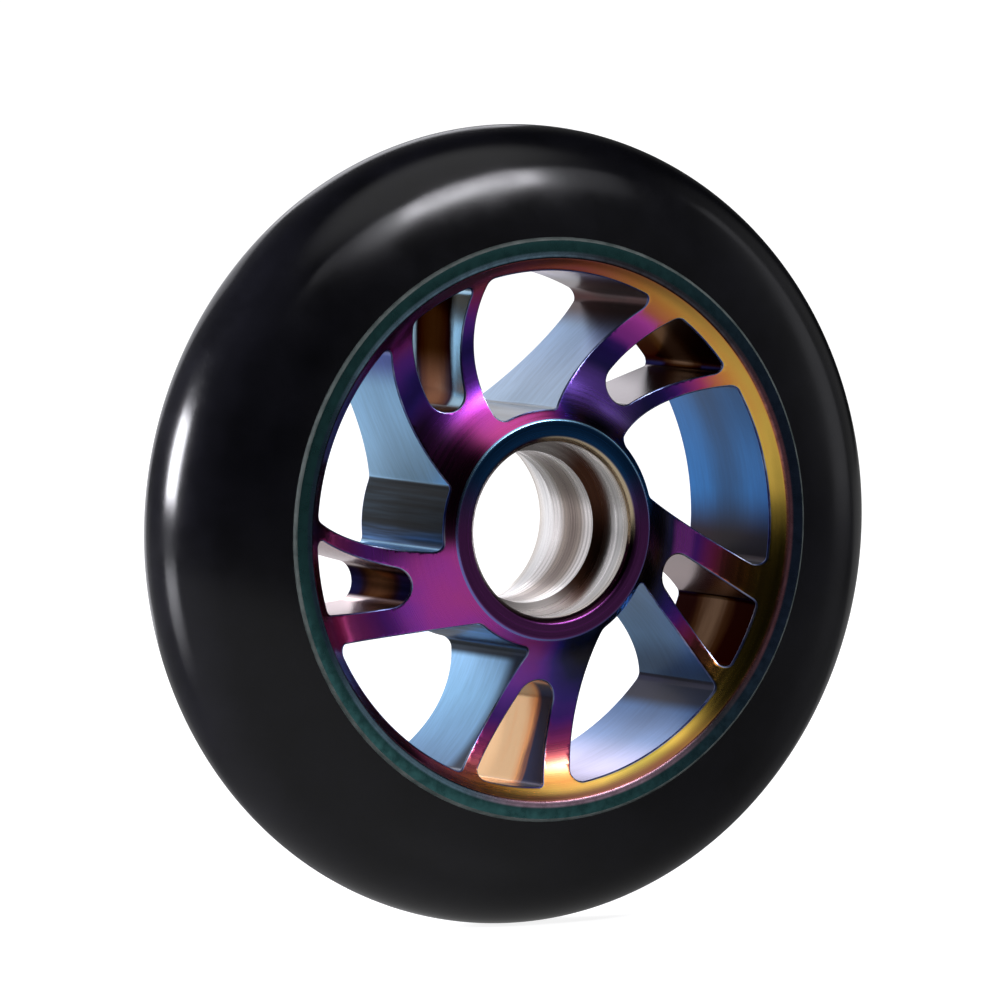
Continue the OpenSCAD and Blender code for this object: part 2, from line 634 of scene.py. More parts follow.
@dataclass
class GroupBuilder:
    """Makes a shader node group with named sockets."""

    name: str
    inputs: Dict[str, float]
    outputs: Dict[str, Kind]

    def start(self) -> Tuple[Graph, bpy.types.Node, bpy.types.Node]:
        """Make the group's tree.

        Returns:
            The graph to build in, the group's input node and its output node.
        """
        tree = bpy.data.node_groups.new(self.name, "ShaderNodeTree")
        for name, value in self.inputs.items():
            socket = tree.interface.new_socket(name, in_out="INPUT", socket_type=Kind.VALUE.value)
            socket.default_value = value
        for name, kind in self.outputs.items():
            tree.interface.new_socket(name, in_out="OUTPUT", socket_type=kind.value)
        return Graph(tree), tree.nodes.new("NodeGroupInput"), tree.nodes.new("NodeGroupOutput")


class Effects:
    """Node groups that the wheel's materials share."""

    def __init__(self) -> None:
        """Build the groups."""
        self.place = self.build_place()
        self.film = self.build_film()
        self.marks = self.build_marks()
        self.rings = self.build_rings()

    @staticmethod
    def build_place() -> bpy.types.NodeTree:
        """Build the group that says where a point lies on the wheel and how it faces.

        Returns:
            A group with one output for each thing that a finish can follow.
        """
        outputs = {at.value: Kind.VECTOR if at is At.SPOT else Kind.VALUE for at in At}
        graph, _, end = GroupBuilder("wheel_place", {}, outputs).start()
        source = graph.node("TexCoord")
        spot = graph.node("VectorMath", operation="SCALE")
        graph.feed(spot.inputs[0], source.outputs["Object"])
        graph.feed(spot.inputs["Scale"], 1 / MM)
        x, y, z = graph.parts(spot.outputs[0])
        facing = source.outputs["Normal"]
        arm = graph.vector(x, 0.0, z)
        radius = graph.measure("LENGTH", arm)
        angle = graph.math("DEGREES", graph.math("ARCTAN2", z, x))
        share_start = 15.0
        share = graph.math("FLOORED_MODULO", graph.math("ADD", angle, share_start), 360 / SPOKES)
        results = {
            At.RADIUS: radius,
            At.DEPTH: y,
            At.HEIGHT: graph.math("ABSOLUTE", y),
            At.LEAN: graph.math("DIVIDE", graph.measure("DOT_PRODUCT", facing, arm), radius),
            At.SIDEWAYS: graph.math("ABSOLUTE", graph.parts(facing)[0]),
            At.RIGHT: graph.math("DIVIDE", x, radius),
            At.UP: graph.math("DIVIDE", z, radius),
            At.TURN: graph.math("SUBTRACT", share, share_start),
            At.SPOT: spot.outputs[0],
        }
        for at, socket in results.items():
            graph.feed(end.inputs[at.value], socket)
        return graph.tree

    @staticmethod
    def build_film() -> bpy.types.NodeTree:
        """Build the group with the oil-slick colours.

        Returns:
            A group whose colour runs from navy through magenta to gold as its film grows.
        """
        graph, start, end = GroupBuilder("oil_slick_film", {"Film": 0.5}, {"Color": Kind.COLOUR}).start()
        colours = [
            (0.00, "141230"),
            (0.10, "20226c"),
            (0.19, "4e30b0"),
            (0.27, "8a36cc"),
            (0.36, "c03cb0"),
            (0.48, "dc4a88"),
            (0.62, "ec7e60"),
            (0.76, "f6a048"),
            (0.90, "fcd058"),
            (1.00, "c8b040"),
        ]
        graph.feed(end.inputs["Color"], graph.ramp(start.outputs["Film"], colours))
        return graph.tree

    @staticmethod
    def build_marks() -> bpy.types.NodeTree:
        """Build the group with the fine lines that a cutter leaves.

        Returns:
            A group whose lines are stretched by its three scales.
        """
        inputs = {"Along X": 1.0, "Along Y": 1.0, "Along Z": 1.0}
        graph, start, end = GroupBuilder("tool_marks", inputs, {"Marks": Kind.VALUE}).start()
        axes = graph.parts(graph.node("TexCoord").outputs["Object"])
        scaled = [graph.times(axis, start.outputs[name]) for axis, name in zip(axes, inputs)]
        graph.feed(end.inputs["Marks"], graph.noise(graph.vector(*scaled), 1.0, 3.0, 0.65))
        return graph.tree

    def build_rings(self) -> bpy.types.NodeTree:
        """Build the group with the rings that turning leaves.

        Returns:
            A group with so many rings to the millimetre.
        """
        inputs = {"Rings per mm": 1.0}
        graph, start, end = GroupBuilder("turned_rings", inputs, {"Rings": Kind.VALUE}).start()
        place = graph.group(self.place).outputs
        rate = start.outputs["Rings per mm"]
        wander = graph.times(place["Up"], 0.4)
        spot = graph.vector(graph.times(place["Radius"], rate), graph.times(place["Height"], rate), wander)
        graph.feed(end.inputs["Rings"], graph.noise(spot, 1.0, 3.0, 0.6))
        return graph.tree


class Paint(Graph):
    """The graph of one material, with its shader."""

    def __init__(self, name: str) -> None:
        """Make the material.

        Args:
            name: Name of the material.
        """
        self.material = bpy.data.materials.new(name)
        self.material.use_nodes = True
        super().__init__(self.material.node_tree)
        self.shader = self.tree.nodes["Principled BSDF"]

    def put(self, name: str, source: Feed) -> None:
        """Feed one of the shader's inputs."""
        self.feed(self.shader.inputs[name], source)


class Surface(Paint):
    """The graph of a material of the wheel, which can follow the place on the wheel."""

    def __init__(self, name: str, effects: Effects) -> None:
        """Make the material.

        Args:
            name: Name of the material.
            effects: Node groups to use in it.
        """
        super().__init__(name)
        self.effects = effects
        self.place = self.group(effects.place)

    def at(self, what: At) -> Socket:
        """Return one thing about the place on the wheel."""
        return self.place.outputs[what.value]

    def along(self, what: At, low: float, high: float, at_low: float = 0.0, at_high: float = 1.0) -> Socket:
        """Let a result fade along one thing about the place on the wheel."""
        return self.fade(self.at(what), low, high, at_low, at_high)

    def film(self, thickness: Feed) -> Socket:
        """Return the oil-slick colour of a film."""
        return self.group(self.effects.film, Film=thickness).outputs["Color"]

    def marks(self, across: float, along: float) -> Socket:
        """Return a cutter's lines, with their scales in the wheel's plane and along the axle."""
        scales = {"Along X": across, "Along Y": along, "Along Z": across}
        return self.group(self.effects.marks, **scales).outputs["Marks"]

    def rings(self, rate: float) -> Socket:
        """Return turned rings, so many to the millimetre."""
        return self.group(self.effects.rings, **{"Rings per mm": rate}).outputs["Rings"]


# Finishes


@dataclass(frozen=True)
class Finish:
    """A finish of the wheel, which makes one material."""

    name: str
    effects: Effects
    metallic: ClassVar[float] = 1.0

    def build(self) -> bpy.types.Material:
        """Make the material.

        Returns:
            The painted material.
        """
        work = Surface(self.name, self.effects)
        work.put("Metallic", self.metallic)
        self.paint(work)
        return work.material

    def paint(self, work: Surface) -> None:
        """Paint the finish onto a surface."""
        raise NotImplementedError


@dataclass(frozen=True)
class DishCoat(Finish):
    """The oil-slick coat on the dished faces.

    Its film grows where the dish rises to the rim, most on the right, and towards the bottom. On the right of
    the hub's slope it thins, as painted shade. Some parts are painted apart: painted shade darkens the left
    slope, a painted purple sheen lies on the upper spoke root, the right spoke root is purple and a leg
    magenta, and painted shade darkens the ring's outer edge, brown on the right.
    """

    def paint(self, work: Surface) -> None:
        """Paint the coat.

        Args:
            work: The surface to paint.
        """
        along, lean = work.along, work.at(At.LEAN)
        bottom = along(At.UP, -0.8, -0.95)
        rise = work.largest(work.times(lean, -1.0), 0.0)
        late = work.fade(rise, 0.05, 0.65, along(At.UP, 0.0, 0.4, 1.0, 0.5))
        gain = work.plus(
            along(At.RIGHT, 0.15, 0.55, 0.62, 0.96),
            along(At.RIGHT, -1.0, 0.0, -0.26, 0.0),
            work.times(bottom, along(At.RIGHT, -0.45, -0.1, 0.0, 0.3)),
        )
        fall = work.largest(lean, 0.0)
        # On the hub's slope the film grows towards the top, and thins on the right as painted shade.
        hub_slope_film_and_shade = work.plus(along(At.UP, -0.1, 0.6, 0.13, 0.34), along(At.RIGHT, -0.1, 0.45, 0.0, -0.7))
        cloud = work.math("SUBTRACT", work.noise(work.at(At.SPOT), 0.25), 0.5)
        film = work.plus(
            along(At.UP, 0.6, -0.1, 0.17, 0.29),
            along(At.UP, -0.5, -0.95, 0.0, -0.06),
            work.times(rise, late, gain),
            work.times(fall, hub_slope_film_and_shade),
            work.times(cloud, 0.08),
        )
        # Painted shade: the left slope of the dish by the hub is dark.
        shaded_left_slope = (
            along(At.RIGHT, -0.58, -0.8),
            along(At.UP, -0.2, 0.0),
            along(At.LEAN, 0.05, 0.25, 0.0, 0.9),
        )
        colour = work.cover(work.film(film), "340c2a", *shaded_left_slope)
        # Painted sheen: the root of the upper spoke is purple.
        sheen_upper_root = (
            along(At.LEAN, 0.1, 0.28),
            along(At.LEAN, 0.72, 0.5),
            along(At.RIGHT, 0.1, 0.3),
            along(At.RIGHT, 0.82, 0.5),
            along(At.UP, 0.4, 0.7, 0.0, 0.9),
        )
        colour = work.cover(colour, "8c60e0", *sheen_upper_root)
        right_root = (
            along(At.LEAN, 0.02, 0.12),
            along(At.LEAN, 0.36, 0.26),
            along(At.RIGHT, 0.9, 0.97),
            along(At.UP, 0.1, -0.05, 0.0, 0.9),
        )
        colour = work.cover(colour, "d860f0", *right_root)
        upper_leg = (
            along(At.LEAN, -0.1, -0.22),
            along(At.LEAN, -0.54, -0.4),
            along(At.RIGHT, 0.25, 0.4),
            along(At.RIGHT, 0.76, 0.6),
            along(At.UP, 0.3, 0.5, 0.0, 0.7),
        )
        colour = work.cover(colour, "f458f0", *upper_leg)
        # Painted shade on the ring's outer edge: dark on the left and brown towards the right.
        shaded_outer_edge = (
            along(At.RADIUS, 32.5, 33.6),
            along(At.RIGHT, 0.45, 0.9, 1.0, 0.15),
            along(At.RIGHT, -0.95, -0.6),
            along(At.RIGHT, -0.3, 0.0, 0.6, 1.0),
            along(At.UP, 0.0, 0.6, 1.0, 0.6),
        )
        outer_edge_shade = work.mix(along(At.RIGHT, -0.3, 0.0), "14141e", "8b4f2b")
        work.put("Base Color", work.cover(colour, outer_edge_shade, *shaded_outer_edge))
        rough = work.plus(
            along(At.LEAN, -0.3, 0.2, 0.16, 0.24),
            work.times(bottom, 0.1),
            work.fade(work.rings(2.0), 0.3, 0.7, 0.0, 0.05),
        )
        work.put("Roughness", rough)
        work.put("Coat Weight", along(At.UP, -0.8, -0.95, 0.5, 1.0))
        work.put("Coat Roughness", 0.22)


@dataclass(frozen=True)
class HubCoat(Finish):
    """The coat on the hub's end faces: navy above, purple below, with a painted highlight on its outer edge.

    A painted reflection lies in the mouth, cream at the upper right and dark elsewhere.
    """

    def paint(self, work: Surface) -> None:
        """Paint the coat.

        Args:
            work: The surface to paint.
        """
        above = work.along(At.UP, -0.1, 0.6)
        face = work.mix(above, "8a4690", "1f4c7c")
        # Painted highlight on the hub's outer edge: pale violet below, pale blue above.
        edge = work.mix(above, "8c8cdc", "92c6ea")
        colour = work.mix(work.along(At.LEAN, 0.1, 0.45), face, edge)
        # Painted reflection in the mouth: cream at the upper right, dark elsewhere.
        lit = work.fade(work.plus(work.at(At.RIGHT), work.at(At.UP)), 0.75, 1.0)
        mouth = work.mix(lit, "3a1830", "e0ccaa")
        colour = work.mix(work.along(At.LEAN, -0.3, -0.6), colour, mouth)
        rings = work.rings(3.0)
        work.put("Base Color", work.shaded(colour, work.fade(rings, 0.25, 0.75, 0.8, 1.1)))
        work.put("Roughness", work.fade(rings, 0.3, 0.7, 0.18, 0.3))


@dataclass(frozen=True)
class LipCoat(Finish):
    """The mottled teal coat on the flat lips, with a painted highlight as a pale line along their inner edge.

    At the foot of that edge lies a painted dark reflection, warmer at the far right and the bottom.
    """

    def paint(self, work: Surface) -> None:
        """Paint the coat.

        Args:
            work: The surface to paint.
        """
        along = work.along
        off_left, far_right = along(At.RIGHT, -0.1, 0.3), along(At.RIGHT, 0.7, 0.93)
        bottom = work.times(along(At.UP, -0.7, -0.95), along(At.RIGHT, -0.4, -0.1))
        flat = work.mix(along(At.RIGHT, 0.2, 1.0), "437374", "38465e")
        # Painted highlight along the inner edge: light blue on the left, pink at the bottom, dull towards the
        # right.
        line = work.mix(off_left, "a0c8e0", work.mix(far_right, "686872", "ab747f"))
        line = work.cover(line, "4a6478", along(At.RIGHT, -0.75, -0.95))
        line = work.cover(line, "f0c8e0", bottom)
        # Painted dark reflection at the foot of the edge, warmer at the far right and the bottom.
        foot = work.mix(off_left, "101a28", "2e1916")
        foot = work.cover(foot, "b87460", far_right)
        foot = work.cover(foot, "6a4040", bottom)
        colour = work.cover(flat, line, along(At.RADIUS, 34.75, 34.4))
        colour = work.cover(colour, foot, along(At.RADIUS, 34.1, 33.85))
        mottle = work.noise(work.at(At.SPOT), 0.6, 4.0, 0.65)
        work.put("Base Color", work.shaded(colour, work.fade(mottle, 0.3, 0.7, 0.65, 1.25)))
        work.put("Roughness", work.fade(mottle, 0.3, 0.7, 0.3, 0.2))


@dataclass(frozen=True)
class WallCoat(Finish):
    """The steel-blue coat on the milled walls of the windows.

    Its shade follows which way a wall faces, from the rim's wall to the hub's. Painted shade darkens the
    narrow corners, the middle of the walls, the hub's end of the lower windows and the front of the wall
    beside the bottom spoke, and a painted reflection turns the bottom rim walls pale. Fine or coarse lines
    of the cutter run over it.
    """

    def paint(self, work: Surface) -> None:
        """Paint the coat.

        Args:
            work: The surface to paint.
        """
        along = work.along
        facing = along(At.LEAN, -1.0, 1.0)
        places = (0.0, 0.1, 0.3, 0.7, 0.92, 0.985)
        rows = (
            ("2068a8", "5c9cdc", "b4dcff", "c0d8ff", "c0d8f0", "2a343a"),
            ("587aac", "7090c4", "9cd4ff", "b4ccf4", "b4cce0", "2a343a"),
            ("287cc4", "5c9cdc", "9cd4ff", "80b8e4", "94c4e8", "18222a"),
        )
        plain, low, left = (work.ramp(facing, list(zip(places, row))) for row in rows)
        on_rim, at_rim = work.fade(facing, 0.3, 0.05), work.fade(facing, 0.1, 0.0)
        colour = work.cover(plain, low, along(At.UP, -0.6, -0.8))
        colour = work.cover(colour, left, along(At.RIGHT, -0.4, -0.75))
        # Painted reflection: the rim walls at the bottom are pale.
        colour = work.cover(colour, "c8c0e4", along(At.UP, -0.84, -0.97), at_rim)
        lead = work.mix(along(At.RADIUS, 25.0, 31.0), "78a8d8", "3c5c80")
        colour = work.cover(colour, lead, along(At.RIGHT, 0.2, 0.6), work.fade(facing, 0.12, 0.24))
        # Painted shade in the rim corners at the trailing side: dark on the right, blue on the left.
        corner = work.mix(along(At.UP, 0.1, 0.4), "1c0816", "40201e")
        corner = work.mix(along(At.RIGHT, -0.3, 0.1), "4a62b0", corner)
        rim_corner_shade = (along(At.TURN, 6.5, -5.0), along(At.RADIUS, 26.0, 30.0), along(At.UP, -0.75, -0.3))
        colour = work.cover(colour, corner, *rim_corner_shade)
        # Painted shade: a dark patch at the far end of the rim walls in the lower windows.
        wedge_shade = (
            along(At.TURN, 23.0, 27.0),
            along(At.RADIUS, 23.0, 27.0),
            along(At.UP, -0.1, -0.5),
            work.fade(facing, 0.25, 0.1),
        )
        colour = work.cover(colour, "1c1c34", *wedge_shade)
        colour = work.cover(colour, "d0b8bc", along(At.UP, 0.93, 0.99), at_rim)
        # Painted shade at the hub's end of the lower windows.
        colour = work.cover(colour, "26303c", along(At.RADIUS, 17.2, 16.2), along(At.UP, -0.5, -0.8))
        # Painted shadow near the front of the wall beside the bottom spoke.
        front_edge_shade = (along(At.DEPTH, -4.5, -8.0), along(At.RIGHT, -0.08, -0.18), along(At.UP, -0.7, -0.85))
        colour = work.cover(colour, "1c2c44", *front_edge_shade)
        colour = work.cover(colour, "36547a", work.fade(facing, 0.9, 0.985), along(At.UP, 0.04, -0.1))
        # Painted shade: the middle of the walls, between the faces, is darker.
        middle = work.times(
            along(At.HEIGHT, 6.5, 0.5),
            work.fade(on_rim, 0.0, 1.0, 0.12, 0.45),
            along(At.UP, -0.8, -0.5, 0.4, 1.0),
        )
        marks = work.marks(160.0, 1500.0)
        fine = work.fade(marks, 0.25, 0.75, 0.84, 1.02)
        coarse = work.fade(work.marks(1100.0, 40.0), 0.35, 0.7, 0.5, 2.2)
        lines = work.fade(facing, 0.9, 0.985, fine, coarse)
        work.put("Base Color", work.shaded(colour, work.times(lines, work.math("SUBTRACT", 1.0, middle))))
        work.put("Roughness", 0.28)
        work.put("Normal", work.bump(marks, 0.1, TOOL_MARK_DEPTH))


@dataclass(frozen=True)
class SlotCoat(Finish):
    """The bronze coat inside the slots, with painted light and shade.

    Deep inside lies brown painted shade; near the faces the coat is navy, with a painted cyan highlight in
    the upper left slot. The bottom slot has painted light, and the coat is pale where it thins.

    Its sheen is the colour that it takes where it is seen at a slant.
    """

    sheen: str = "bcb0a8"

    def paint(self, work: Surface) -> None:
        """Paint the coat.

        Args:
            work: The surface to paint.
        """
        along = work.along
        marks = work.marks(120.0, 900.0)
        wander = work.times(work.math("SUBTRACT", marks, 0.5), 0.4)
        near = work.plus(along(At.HEIGHT, 0.0, 7.5), wander)
        near_front = work.plus(along(At.DEPTH, 0.0, -7.5), wander)
        # Painted shade inside the slots: brown in the middle, darker towards the faces and on the rim's wall.
        dark = work.ramp(near, [(0.0, "4a3226"), (0.3, "3a2620"), (0.55, "1e1820")])
        brown = work.ramp(near, [(0.0, "6a5444"), (0.4, "3c2a22"), (0.8, "1c1416")])
        # Painted light in the bottom slot: cream at the back, turning navy at the front.
        light_stops = [(0.0, "ffd09c"), (0.3, "ffb474"), (0.48, "9a6450"), (0.62, "242850")]
        light = work.ramp(near_front, light_stops)
        # Painted light and shade: much lighter near the hub, darker towards the rim and lower down.
        slot_light_and_shade = work.times(along(At.RADIUS, 19.5, 25.0, 4.5, 0.6), along(At.UP, 0.0, 0.5, 0.4, 1.0))
        # Near the faces the coat is navy, with a painted cyan highlight in the upper left slot.
        front = work.cover("1c2448", "c0e8ff", along(At.UP, 0.2, 0.6), along(At.RIGHT, 0.1, -0.2))
        colour = work.cover(work.shaded(dark, slot_light_and_shade), front, work.fade(near, 0.55, 0.9))
        colour = work.cover(colour, brown, along(At.LEAN, -0.5, -0.85))
        colour = work.cover(colour, light, along(At.UP, -0.6, -0.95))
        thin = work.mix(along(At.UP, 0.0, 0.5), "f4dcdc", "5c5052")
        colour = work.cover(colour, thin, along(At.SIDEWAYS, 0.76, 0.56), along(At.LEAN, -0.85, -0.5))
        work.put("Base Color", colour)
        work.put("Roughness", 0.24)
        work.put("Specular Tint", self.sheen)
        work.put("Normal", work.bump(marks, 0.1, TOOL_MARK_DEPTH))


@dataclass(frozen=True)
class EdgeCoat(Finish):
    """The coat on the broken edges of the cut-outs, with a painted highlight that is pale in places."""

    def paint(self, work: Surface) -> None:
        """Paint the coat.

        Args:
            work: The surface to paint.
        """
        # Painted highlight: the edge breaks run pale in places, by a noise.
        pale_edge_highlight = work.noise(work.at(At.SPOT), 0.22, 3.0, 0.6)
        work.put("Base Color", work.ramp(pale_edge_highlight, [(0.3, "4a3a80"), (0.5, "7a88b8"), (0.7, "c8d0e8")]))
        work.put("Roughness", 0.28)


@dataclass(frozen=True)
class BareMetal(Finish):
    """Bare turned aluminium in the bore, with fine rings.

    A brown painted reflection lies on the shoulders of the seats, at the left and right.
    """

    seat_depth: ClassVar[float] = 12.0

    def paint(self, work: Surface) -> None:
        """Paint the metal.

        Args:
            work: The surface to paint.
        """
        rings = work.rings(2.2)
        bands = [
            (0.0, "8c7c74"),
            (0.16, "a09288"),
            (0.3, "efe9e6"),
            (0.42, "e4dedb"),
            (0.8, "f4f2f0"),
            (0.95, "e2d8cc"),
        ]
        band = work.ramp(work.math("DIVIDE", work.at(At.HEIGHT), self.seat_depth), bands)
        colour = work.shaded(band, work.fade(rings, 0.28, 0.72, 0.72, 1.05))
        # Painted reflection: the shoulders turn brown at the left and right.
        side = work.fade(work.math("ABSOLUTE", work.at(At.RIGHT)), 0.15, 0.75)
        work.put("Base Color", work.cover(colour, "5c3c2e", work.along(At.LEAN, -0.7, -0.2), side))
        work.put("Roughness", work.fade(rings, 0.3, 0.7, 0.38, 0.24))
        work.put("Normal", work.bump(rings, 0.2, 0.03 * MM))


@dataclass(frozen=True)
class SeamFlash(Finish):
    """The thin dull flash of urethane on the rim's outer edge."""

    metallic: ClassVar[float] = 0.0

    def paint(self, work: Surface) -> None:
        """Paint the flash.

        Args:
            work: The surface to paint.
        """
        stain = work.noise(work.at(At.SPOT), 0.5, 3.0, 0.6)
        work.put("Base Color", work.ramp(stain, [(0.3, "3c4846"), (0.7, "666e6c")]))
        work.put("Roughness", 0.6)


@dataclass(frozen=True)
class Urethane(Finish):
    """Glossy black cast urethane, with faint clouds, and scuffs on the tread."""

    metallic: ClassVar[float] = 0.0

    def paint(self, work: Surface) -> None:
        """Paint the urethane.

        Args:
            work: The surface to paint.
        """
        cloud = work.noise(work.at(At.SPOT), 0.12, 3.0, 0.6)
        grain = work.noise(work.at(At.SPOT), 1.6, 4.0, 0.7)
        scuff = work.times(work.fade(grain, 0.55, 0.75), work.along(At.RADIUS, 44.0, 50.0, 0.0, 0.06))
        work.put("Base Color", work.ramp(cloud, [(0.3, "0a0a0d"), (0.7, "111116")]))
        work.put("Roughness", work.plus(scuff, work.fade(cloud, 0.3, 0.7, 0.15, 0.2)))
        work.put("Specular IOR Level", 0.3)
        work.put("Normal", work.bump(grain, 0.012, TOOL_MARK_DEPTH))


# The wheel


@dataclass
class RimSection:
    """Sizes of the rim's section, which the core and the tyre share."""

    radius: float = 36.4 * MM
    half_width: float = 11.65 * MM
    bevel: float = 0.4 * MM
    flange: float = 2.2 * MM
    rib_half: float = 2.2 * MM
    groove_depth: float = 1.6 * MM
    undercut: float = 0.5 * MM

    def points(self) -> List[Point]:
        """Draw the front half of the rim's section.

        Returns:
            Radius and height of its points, from the lip to the middle rib.
        """
        groove = self.radius - self.groove_depth
        return [
            (self.radius - self.bevel, self.half_width),
            (self.radius, self.half_width - self.bevel),
            (self.radius, self.half_width - self.flange),
            (groove, self.half_width - self.flange + self.undercut),
            (groove, self.rib_half - self.undercut),
            (self.radius, self.rib_half),
        ]


def both_faces(half: Sequence[Point]) -> List[Point]:
    """Add the mirror image of a half section, so that it runs out on the front and back on the rear."""
    return [(r, -h) for r, h in half] + [(r, h) for r, h in reversed(half)]


@dataclass
class Core:
    """The machined core: hub, dished faces, five slotted spokes and the rim under the tyre."""

    effects: Effects
    rim: RimSection
    hub_half: float = 12.0 * MM
    land_r: float = 9.5 * MM
    land_half: float = 5.0 * MM
    seat_r: float = 11.0 * MM
    seat_chamfer: float = 0.8 * MM
    hub_face_r: float = 13.7 * MM
    hub_edge_r: float = 0.5 * MM
    lip_in_r: float = 33.9 * MM
    lip_edge_r: float = 1.0 * MM
    web_half: float = 6.95 * MM
    dish_ring_r: float = 23.94 * MM
    dish_r: float = 12.905 * MM
    dish_step: float = 0.5 * MM
    edge_step: float = 0.12 * MM
    turn_steps: int = 360
    spokes: int = SPOKES
    window_in_r: float = 14.95 * MM
    window_out_r: float = 32.15 * MM
    lead_angles: Point = (45.0, 32.0)
    lead_r: float = 35.0 * MM
    trail_angles: Point = (13.8, -11.3)
    trail_r: float = 140.0 * MM
    window_hub_r: float = 1.0 * MM
    window_rim_r: float = 1.1 * MM
    slot_end_r: float = 2.5 * MM
    slot_tip_r: float = 19.0 * MM
    thin_leg_in: float = 2.3 * MM
    thin_leg_out: float = 1.9 * MM
    thick_leg_out: float = 3.9 * MM
    thin_side_r: float = 54.0 * MM
    thick_side_r: float = 55.0 * MM
    slot_corner_r: float = 0.9 * MM
    edge_break: float = 0.18 * MM
    cut_past: float = 14.0 * MM
    coat_margin: float = 0.01 * MM
    hub_coat_past: float = 0.2 * MM
    lip_coat_past: float = 0.15 * MM
    mouth_coat_share: float = 0.9
    level_side: float = 0.66
    level_lean: float = -0.67
    bottom_up: float = -0.78
    sharp_angle: float = 46.0

    @property
    def dish_centre(self) -> Point:
        """Centre of the dish's round section, as radius and height."""
        return (self.dish_ring_r, self.web_half + self.dish_r)

    def dish_height(self, radius: float) -> float:
        """Return the height of the dish over the middle plane at a radius."""
        return self.dish_centre[1] - math.sqrt(self.dish_r**2 - (radius - self.dish_ring_r) ** 2)

    def edge_round(self, height: float, radius: float, side: int) -> Tuple[Point, Point, Point]:
        """Lay a round where the dish runs out into a flat face.

        Args:
            height: Height of the flat face.
            radius: Radius of the round.
            side: -1 at the hub or 1 at the rim.

        Returns:
            The round's centre, where it leaves the flat face and where it joins the dish.
        """
        hub_slope_film_and_shade = self.dish_centre[1] - height + radius
        away = math.sqrt((self.dish_r + radius) ** 2 - hub_slope_film_and_shade**2)
        middle = (self.dish_ring_r + side * away, height - radius)
        return middle, (middle[0], height), toward(self.dish_centre, middle, self.dish_r)

    def half_section(self) -> List[Point]:
        """Draw the front half of the section.

        Returns:
            Radius and height of its points, from the land bore out to the rim.
        """
        hub_middle, hub_flat, hub_dish = self.edge_round(self.hub_half, self.hub_edge_r, -1)
        lip_middle, lip_flat, lip_dish = self.edge_round(self.rim.half_width, self.lip_edge_r, 1)
        points = [
            (self.land_r, self.land_half),
            (self.seat_r, self.land_half),
            (self.seat_r, self.hub_half - self.seat_chamfer),
            (self.seat_r + self.seat_chamfer, self.hub_half),
        ]
        points += arc_points(hub_middle, hub_flat, hub_dish, False, self.edge_step)
        points += arc_points(self.dish_centre, hub_dish, lip_dish, True, self.dish_step)
        points += arc_points(lip_middle, lip_dish, lip_flat, False, self.edge_step)
        points.append(lip_flat)
        return points + self.rim.points()

    def side_centre(self, angles: Point, radius: float, turn: float = 0.0) -> Point:
        """Find the centre of one curved side of a window.

        Args:
            angles: Angles of the side's ends, at the hub and at the rim.
            radius: Radius of the side.
            turn: Degrees by which the side is turned on round the axle.

        Returns:
            The centre.
        """
        ends = [polar(r, a + turn) for r, a in zip((self.window_in_r, self.window_out_r), angles)]
        return arc_centre(*ends, radius)

    def window(self) -> Outline:
        """Draw the window on the right.

        Returns:
            Its outline.
        """
        axle = (0.0, 0.0)
        lead = self.side_centre(self.lead_angles, self.lead_r)
        trail = self.side_centre(self.trail_angles, self.trail_r)
        circles = [
            Circle(axle, self.window_out_r, Within.INSIDE),
            Circle(lead, self.lead_r, Within.INSIDE),
            Circle(axle, self.window_in_r, Within.OUTSIDE),
            Circle(trail, self.trail_r, Within.OUTSIDE),
        ]
        corners = [
            Corner(self.window_rim_r, 1),
            Corner(self.window_hub_r, -1),
            Corner(self.window_hub_r, 1),
            Corner(self.window_rim_r, -1),
        ]
        return Outline(circles, corners).walk()

    def slot(self) -> Outline:
        """Draw the slot in the spoke above the window on the right.

        Returns:
            Its outline.
        """
        axle = (0.0, 0.0)
        lead = self.side_centre(self.lead_angles, self.lead_r)
        next_trail = self.side_centre(self.trail_angles, self.trail_r, 360 / self.spokes)
        end_reach = self.slot_tip_r + self.slot_end_r
        end = meet(axle, end_reach, lead, self.lead_r + self.thin_leg_in + self.slot_end_r, 1)
        thin_foot = meet(axle, self.window_out_r, lead, self.lead_r + self.thin_leg_out, 1)
        thick_foot = meet(axle, self.window_out_r, next_trail, self.trail_r - self.thick_leg_out, 1)
        thin = meet(end, self.thin_side_r + self.slot_end_r, thin_foot, self.thin_side_r, -1)
        thick = meet(end, self.thick_side_r - self.slot_end_r, thick_foot, self.thick_side_r, -1)
        circles = [
            Circle(axle, self.window_out_r, Within.INSIDE),
            Circle(thick, self.thick_side_r, Within.INSIDE),
            Circle(thin, self.thin_side_r, Within.OUTSIDE),
        ]
        corners = [Corner(self.slot_corner_r, 1), Corner(self.slot_end_r, -1), Corner(self.slot_corner_r, -1)]
        return Outline(circles, corners).walk()

